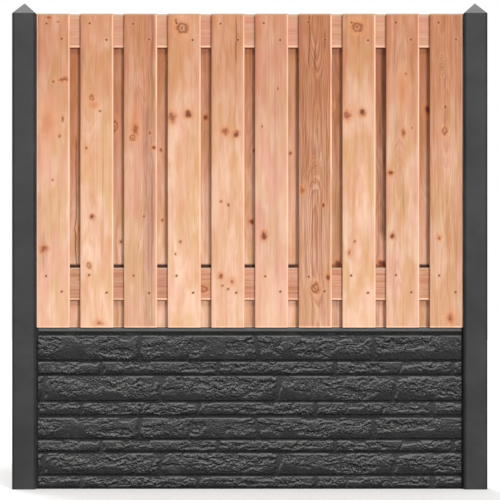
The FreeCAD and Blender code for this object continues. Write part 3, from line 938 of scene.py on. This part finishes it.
class FENCE_OT_posts(bpy.types.Operator):
    """Round the cast edges of the posts and give them their concrete"""

    bl_idname = "fence.posts"
    bl_label = "Posts"

    def execute(self, context):
        settings = context.scene.fence_posts
        head_level = edges_of("left_post")[1][2] - settings.head_rise
        finish = cast_concrete("post_cast_concrete", settings.concrete, settings.shaded_concrete, head_level)
        for node in POSTS:
            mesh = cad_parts[node].data.copy()
            mesh.materials.clear()
            work = bmesh.new()
            work.from_mesh(mesh)
            bmesh.ops.remove_doubles(work, verts=work.verts, dist=0.01 * MM)
            bmesh.ops.dissolve_limit(work, angle_limit=math.radians(1.0), verts=work.verts,
                                     edges=work.edges)
            bmesh.ops.recalc_face_normals(work, faces=work.faces)
            work.to_mesh(mesh)
            work.free()
            mesh.shade_smooth()
            mesh.materials.append(finish)
            made = bpy.data.objects.new(node + "_cast", mesh)
            context.scene.collection.objects.link(made)
            edge = made.modifiers.new("cast_edges", "BEVEL")
            edge.width = settings.edge_round
            edge.segments = 3
            edge.limit_method = "ANGLE"
            edge.angle_limit = math.radians(25)
            edge.harden_normals = True
            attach(made, "root")
            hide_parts(node)
        return {"FINISHED"}


# Courses of each plate from its foot up: height of the foot and of the course in mm, and where one of its
# joints falls, as mm from the bay's middle. Both plates come from one pattern. Cracks are shallow joints, at
# mm from the bay's middle.

FOURTH, THIRD, SECOND, FIRST = -217, 119, -132, 30
CRACKS = {FOURTH: (-454, 171, 412), THIRD: (), SECOND: (640,), FIRST: (-250,)}
PLATE_COURSES = {
    "upper_base_plate": [(7, 50, FOURTH), (66, 103, THIRD), (178, 50, SECOND), (237, 103, FIRST)],
    "lower_base_plate": [(7, 44, FOURTH), (61, 87, THIRD), (158, 44, SECOND), (212, 87, FIRST)],
}
CREST_SHARE = 0.64
TALL_RISE = 70 * MM
TALL_PATTERN = 100 * MM
LOW_PATTERN = 50 * MM
RUBBLE = [(0.020, 0.012, 0.7, 0.4), (0.0115, 0.0080, 0.65, -0.5), (0.0080, 0.0062, 0.65, 0.3)]


def smooth_step(value):
    """0 below 0 and 1 above 1, by the curve 3t^2 - 2t^3 between."""
    share = np.clip(value, 0, 1)
    return share * share * (3 - 2 * share)


def one_stone_row(x, down, rise, shift, settings, seed):
    """Height of one course above the slab, in metres, and how broken it is, from 0 to 1.

    Down runs from 0 at the course's top to 1 at its foot. A stone leaves its top edge with a small step,
    swells to a crest that wanders up and down, and falls back to its bed. Facets, rubble and scoops break
    its face down to the crest, and the foot below it stays smooth.
    """
    tall = rise > TALL_RISE
    z = down * (TALL_PATTERN if tall else LOW_PATTERN)
    crest = CREST_SHARE + 0.5 * (lattice(x, 0 * z, 0.15, 1.0, seed) - 0.5)
    crest += 0.22 * (lattice(x, 0 * z, 0.04, 1.0, seed + 1) - 0.5)
    crest = np.clip(crest, 0.35, 0.92)
    climb = np.clip(down / crest, 0, 1)
    fall = np.clip((down - crest) / (1 - crest), 0, 1)
    body = np.where(down < crest, 0.5 + 0.5 * climb, 1 - 0.6 * fall ** 0.8)
    place = x - shift * MM
    turn = np.round(place / settings.stone_length)
    lean = (lattice(turn * 1.0, 0 * turn, 0.37, 1.0, seed + 2) - 0.5) * 44 * MM * tall
    gap = np.abs(place + lean * (down - 0.5) - turn * settings.stone_length)
    gap += 12 * MM * (lattice(x, z, 0.015, 0.015, seed + 3) - 0.5)
    wide = settings.head_joint * (0.5 + 0.5 * lattice(turn * 1.0, z, 0.37, 0.05, seed + 4))
    side = smooth_step((gap - wide) / (13 * MM))
    for crack in CRACKS[shift]:
        away = np.abs(x - crack * MM + 26 * MM * (down - 0.5))
        away += 5 * MM * (lattice(x, z, 0.012, 0.012, seed + 5) - 0.5)
        side = np.minimum(side, 0.35 + 0.65 * smooth_step(away / (10 * MM)))
    above = smooth_step((crest + 0.2 - down) / 0.28)
    patch = smooth_step((lattice(x, z, 0.085, 0.05, seed + 6) - 0.16) / 0.34)
    broken = above * (0.32 + 0.95 * patch)
    wave_x = x + 16 * MM * (lattice(x, z, 0.025, 0.025, seed + 7) - 0.5)
    wave_z = z + 16 * MM * (lattice(x, z, 0.025, 0.025, seed + 8) - 0.5)
    facets = 0.80 * chips(wave_x + 0.5 * wave_z, wave_z, 0.052, 0.026, seed + 9)
    facets += 0.50 * chips(wave_x - 0.7 * wave_z, wave_z, 0.024, 0.012, seed + 10)
    rubble = 0.0
    for cell_x, cell_z, share, turned in RUBBLE:
        rubble = rubble + share * (lattice(wave_x + turned * wave_z, wave_z - 0.3 * turned * wave_x,
                                           cell_x, cell_z, seed + int(cell_x * 4000)) - 0.5)
    scoop = smooth_step((lattice(wave_x, wave_z, 0.075, 0.035, seed + 12) - 0.60) / 0.10)
    texture = settings.break_depth * (broken * (facets + rubble) - 0.9 * above * scoop)
    smooth_waves = 1.8 * MM * (lattice(x, z, 0.04, 0.03, seed + 13) - 0.5)
    fine = 0.9 * MM * (lattice(wave_x, wave_z, 0.0085, 0.0075, seed + 14) - 0.5)
    edge = smooth_step(np.minimum(down, 1 - down) * rise / (2.6 * MM))
    swell = 0.8 + 0.4 * lattice(x, 0 * z, 0.11, 1.0, seed + 15)
    height = (settings.bulge * body * swell + texture + smooth_waves + fine + 2.2 * MM) * edge * side
    return height, np.clip(broken, 0, 1) * edge * side


def stone_height(x, z, courses, settings, depth, seed):
    """Height of all courses above the slab, how broken each point is, and how far down its stone it lies.

    A bed between courses is flat. The height bends over towards its limit by the hyperbolic tangent.
    """
    height = 0.5 * MM * lattice(x, z, 0.02, 0.02, seed + 99)
    broken = np.zeros_like(x)
    lowness = np.ones_like(x)
    for number, (foot, rise, shift) in enumerate(courses):
        down = (foot * MM + rise * MM - z) / (rise * MM)
        here = (down >= 0) & (down <= 1)
        stone, rough = one_stone_row(x, np.clip(down, 0, 1), rise * MM, shift, settings, seed + 20 * number)
        height = np.where(here, np.maximum(height, stone), height)
        broken = np.where(here, rough, broken)
        lowness = np.where(here, down, lowness)
    return depth * np.tanh(np.maximum(height, 0) / depth), broken, lowness


def relief_shell(x_range, z_range, slab_half, sink, step, face, height_at):
    """A closed shell: a grid pushed out by the stones' height, with a flat back sunk into the slab.

    Painted light lies where the surface turns up or to the left, and painted shade where it turns down or to
    the right: the slope is the height's fall along Z plus some of its rise along X.
    """
    columns = int(round((x_range[1] - x_range[0]) / step)) + 1
    rows = int(round((z_range[1] - z_range[0]) / step)) + 1
    x, z = np.meshgrid(np.linspace(*x_range, columns), np.linspace(*z_range, rows))
    height, broken, lowness = height_at(x, z)
    turned_up = 1.7 * -np.gradient(height, step, axis=0) + 0.6 * np.gradient(height, step, axis=1)
    painted_light = 0.5 + 0.5 * turned_up / np.sqrt(1 + turned_up * turned_up)
    front = np.stack([x, face * (slab_half + height), z], axis=-1)
    grid = np.arange(rows * columns).reshape(rows, columns)
    rim = np.concatenate([grid[0, :-1], grid[:-1, -1], grid[-1, :0:-1], grid[:0:-1, 0]])
    front = front.reshape(-1, 3)
    back = front[rim]
    back[:, 1] = face * (slab_half - sink)
    faces = quads(rows, columns)
    under = np.arange(len(rim)) + rows * columns
    after = np.roll(np.arange(len(rim)), -1)
    walls = np.stack([rim, under, under[after], rim[after]], axis=-1)
    faces += walls.tolist()
    faces.append(under.tolist())
    looks = [np.concatenate([field.reshape(-1), np.full(len(rim), plain)])
             for field, plain in ((painted_light, 0.5), (broken, 0.0), (lowness, 1.0))]
    return np.concatenate([front, back]), faces, looks


def prism(section, x_low, x_high):
    """A closed outline of Y and Z carried along X from one end to the other."""
    section = np.array(section)
    ends = [np.column_stack([np.full(len(section), x), section]) for x in (x_low, x_high)]
    points = np.stack(ends)
    return points.reshape(-1, 3), tube(points)


def flat_shell(section, x_low, x_high, *looks):
    """A prism with the same three looks at every point."""
    points, faces = prism(section, x_low, x_high)
    return points, faces, [np.full(len(points), look) for look in looks]


def plate_shells(node, courses, left, right, settings):
    """The slab of a plate, the rim of the upper one, and the stones on both of its faces."""
    low, high = edges_of(node)
    top = high[2]
    half = settings.slab / 2
    depth = high[1] - half
    slab = [(-half, low[2]), (half, low[2]), (half, top), (-half, top)]
    # The slab takes the foot look: dark in the joints, and painted shade in the band under the rim.
    shells = [flat_shell(slab, low[0], high[0], 0.5, 0.0, 1.0)]
    if node == "upper_base_plate":
        nose, bevel, under = half + depth - 1 * MM, top - 13 * MM, top - 18 * MM
        back = [(half, under), (nose, bevel - 1 * MM), (nose, bevel), (half, top - 0.2 * MM)]
        front = [(-y, z) for y, z in reversed(back)]
        # The rim's bevel takes a painted highlight.
        shells.append(flat_shell(front + back, left, right, 0.75, 0.1, 0.2))
    tallest = max(foot + rise for foot, rise, shift in courses) * MM
    heights = (low[2] + 0.2 * MM, low[2] + tallest + 3 * MM)
    for face, coarser, seed in ((-1, 1.0, 100), (1, 1.8, 500)):
        shells.append(relief_shell((left, right), heights, half, 2 * MM, settings.mesh_step * coarser, face,
                                   lambda x, z: stone_height(x - BAY_MIDDLE, z - low[2], courses, settings,
                                                             depth, seed)))
    return shells


class FENCE_OT_base_plates(bpy.types.Operator):
    """Cast the base plates, with their courses of rough stones on both faces"""

    bl_idname = "fence.base_plates"
    bl_label = "Base Plates"

    def execute(self, context):
        settings = context.scene.fence_stone
        finish = rock_concrete("plate_rock_concrete", settings.concrete, settings.foot_concrete)
        left = edges_of("left_post")[1][0] + settings.end_margin
        right = edges_of("right_post")[0][0] - settings.end_margin
        for node, courses in PLATE_COURSES.items():
            shells = plate_shells(node, courses, left, right, settings)
            points, faces = joined(shells)
            made = piece(node + "_cast", points, faces, finish, "stone_faced_concrete", node,
                         smooth_angle=50.0)
            for number, name in enumerate(LOOKS):
                values = np.concatenate([shell[2][number] for shell in shells])
                layer = made.data.attributes.new(name, "FLOAT", "POINT")
                layer.data.foreach_set("value", values.astype(np.float32))
        return {"FINISHED"}


# Fixings

def zinc(name, base, shine, roughness_low, roughness_high):
    """Zinc-coated or browned steel with a faint spangle and dull handling marks."""
    nodes = new_material(name)
    point = nodes.place()
    spangle = nodes.cells(point, 160.0)
    smudge = nodes.noise(point, 60.0, 3.0)
    darker, brighter = (tuple(share * channel for channel in base) for share in (0.55, 1.15))
    colour = nodes.mix(nodes.fade(spangle, 0.2, 0.8, 0.0, 0.35), base, brighter)
    colour = nodes.mix(nodes.fade(smudge, 0.5, 0.75, 0.0, 0.5), colour, darker)
    nodes.surface.inputs["Metallic"].default_value = shine
    roughness = nodes.fade(smudge, 0.3, 0.7, roughness_low, roughness_high)
    return nodes.finish(colour, roughness, spangle, 0.05 * MM, gloss=0.5)


def screw_points(radius, stand, lobes):
    """A countersunk head seen from above, as rings of points about its axis.

    The rings run from the recess's floor, whose radius swells and shrinks with the cosine of the lobes
    times the angle, over the head's face and rim to its skirt in the wood.
    """
    turn = np.linspace(0, 2 * np.pi, 36, endpoint=False)
    star = 0.40 * (1 + 0.16 * np.cos(lobes * turn))
    around = np.ones_like(turn)
    rings = [
        (star * 0.92, 0.10), (star, 0.30), (star * 1.06, 0.92), (0.62 * around, 1.0),
        (0.9 * around, 0.96), (1.0 * around, 0.7), (1.0 * around, -0.2), (0.8 * around, -1.0),
    ]
    points = [np.column_stack([share * radius * np.cos(turn), np.full(len(turn), level * stand),
                               share * radius * np.sin(turn)]) for share, level in rings]
    return np.stack(points)


def screws(name, centres, facing, slot, settings, finish):
    """One mesh of many screw heads. Facing is -1 for heads that look to the front and 1 for the back."""
    head = screw_points(settings.head_radius, settings.head_stand, settings.lobes)
    head[..., 1] *= facing
    shells = [(head.reshape(-1, 3) + centre, tube(head)) for centre in centres]
    points, faces = joined(shells)
    return piece(name, points, faces, finish, slot, smooth_angle=35.0)


class FENCE_OT_screws(bpy.types.Operator):
    """Drive two screws through each board at each rail, one high on the left and one low on the right"""

    bl_idname = "fence.screws"
    bl_label = "Screws"

    def execute(self, context):
        settings = context.scene.fence_fixings
        finish = zinc("screw_steel", paint(112, 62, 36), 0.3, 0.55, 0.7)
        for group, nodes, facing in (("front", FRONT_BOARDS, -1), ("back", BACK_BOARDS, 1)):
            centres = []
            for node in nodes:
                low, high = edges_of(node)
                face = low[1] if facing < 0 else high[1]
                centres += [(x, face, z) for x, z in screw_spots(node)]
            screws(group + "_board_screws", centres, facing, "galvanised_steel", settings, finish)
        return {"FINISHED"}


class FENCE_OT_brackets(bpy.types.Operator):
    """Coat the angle brackets with zinc"""

    bl_idname = "fence.brackets"
    bl_label = "Brackets"

    def execute(self, context):
        finish = zinc("bracket_zinc", paint(188, 190, 192), 1.0, 0.35, 0.55)
        for node in BRACKETS:
            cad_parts[node].material_slots[0].material = finish
        return {"FINISHED"}


# Studio

def studio_floor():
    """Pale paper that stays white to the eye and throws only a little light back."""
    nodes = new_material("studio_paper")
    fleck = nodes.noise(nodes.place(), 40.0, 2.0)
    white = nodes.mix(nodes.fade(fleck, 0.3, 0.7, 0.0, 0.02), (0.86, 0.86, 0.86), (0.8, 0.8, 0.8))
    colour = nodes.mix(nodes.seen(), (0.3, 0.3, 0.3), white)
    return nodes.finish(colour, 0.9, fleck, 0.02 * MM, gloss=0.1)


def sun(name, strength, elevation, azimuth, spread):
    """A broad lamp far away. Azimuth 0 shines from the front, and 90 from the right."""
    lamp = bpy.data.lights.new(name, "SUN")
    lamp.energy = strength
    lamp.angle = math.radians(spread)
    made = bpy.data.objects.new(name, lamp)
    made.rotation_euler = (math.radians(90 - elevation), 0.0, math.radians(azimuth))
    bpy.context.scene.collection.objects.link(made)


class FENCE_OT_studio(bpy.types.Operator):
    """Set the camera, the floor and the light"""

    bl_idname = "fence.studio"
    bl_label = "Studio"

    def execute(self, context):
        settings = context.scene.fence_studio
        scene = context.scene
        front = edges_of(FRONT_BOARDS[0])[0][1]
        lens = bpy.data.cameras.new("camera")
        lens.lens = lens.sensor_width * settings.distance / settings.view_width
        lens.clip_end = 200.0
        camera = bpy.data.objects.new("camera", lens)
        camera.location = (BAY_MIDDLE + 1 * MM, front - settings.distance, settings.eye_height)
        camera.rotation_euler = (math.radians(90), 0.0, 0.0)
        scene.collection.objects.link(camera)
        scene.camera = camera
        reach = 20.0
        mesh = bpy.data.meshes.new("studio_floor")
        mesh.from_pydata([(-reach, -reach, 0), (reach, -reach, 0), (reach, reach, 0), (-reach, reach, 0)],
                         [], [(0, 1, 2, 3)])
        mesh.materials.append(studio_floor())
        floor = bpy.data.objects.new("studio_floor", mesh)
        scene.collection.objects.link(floor)
        sun("key_light", settings.key_strength, elevation=13.0, azimuth=23.0, spread=12.0)
        sun("top_light", settings.top_strength, elevation=58.0, azimuth=12.0, spread=20.0)
        sun("back_light", settings.back_strength, elevation=48.0, azimuth=200.0, spread=30.0)
        world = bpy.data.worlds.new("studio_sky")
        nodes = Nodes(world, "Background")
        nodes.put(nodes.surface.inputs["Strength"], nodes.ranged(nodes.seen(), settings.sky_strength, 1.0))
        nodes.put(nodes.surface.inputs["Color"], (1.0, 1.0, 1.0))
        scene.world = world
        scene.view_settings.view_transform = "Standard"
        return {"FINISHED"}


class FENCE_PT_panel(bpy.types.Panel):
    """Lists the fence's steps in the sidebar"""

    bl_label = "Fence Bay"
    bl_idname = "FENCE_PT_panel"
    bl_space_type = "VIEW_3D"
    bl_region_type = "UI"
    bl_category = "Fence"

    def draw(self, context):
        for step in STEPS:
            self.layout.operator(step.bl_idname)
        for group in SETTINGS:
            box = self.layout.box()
            for setting in SETTINGS[group].__annotations__:
                box.prop(getattr(context.scene, group), setting)


SETTINGS = {
    "fence_timber": FenceTimber,
    "fence_stone": FenceStone,
    "fence_posts": FencePosts,
    "fence_fixings": FenceFixings,
    "fence_studio": FenceStudio,
}
STEPS = [FENCE_OT_studio, FENCE_OT_front_boards, FENCE_OT_back_boards, FENCE_OT_rails, FENCE_OT_posts,
         FENCE_OT_base_plates, FENCE_OT_screws, FENCE_OT_brackets]


def register():
    for kind in [*SETTINGS.values(), *STEPS, FENCE_PT_panel]:
        bpy.utils.register_class(kind)
    for name, kind in SETTINGS.items():
        setattr(bpy.types.Scene, name, PointerProperty(type=kind))


def unregister():
    for name in SETTINGS:
        delattr(bpy.types.Scene, name)
    for kind in reversed([*SETTINGS.values(), *STEPS, FENCE_PT_panel]):
        bpy.utils.unregister_class(kind)


def main():
    register()
    bpy.ops.fence.studio()
    bpy.ops.fence.front_boards()
    bpy.ops.fence.back_boards()
    bpy.ops.fence.rails()
    bpy.ops.fence.posts()
    bpy.ops.fence.base_plates()
    bpy.ops.fence.screws()
    bpy.ops.fence.brackets()


if __name__ == "__main__":
    main()
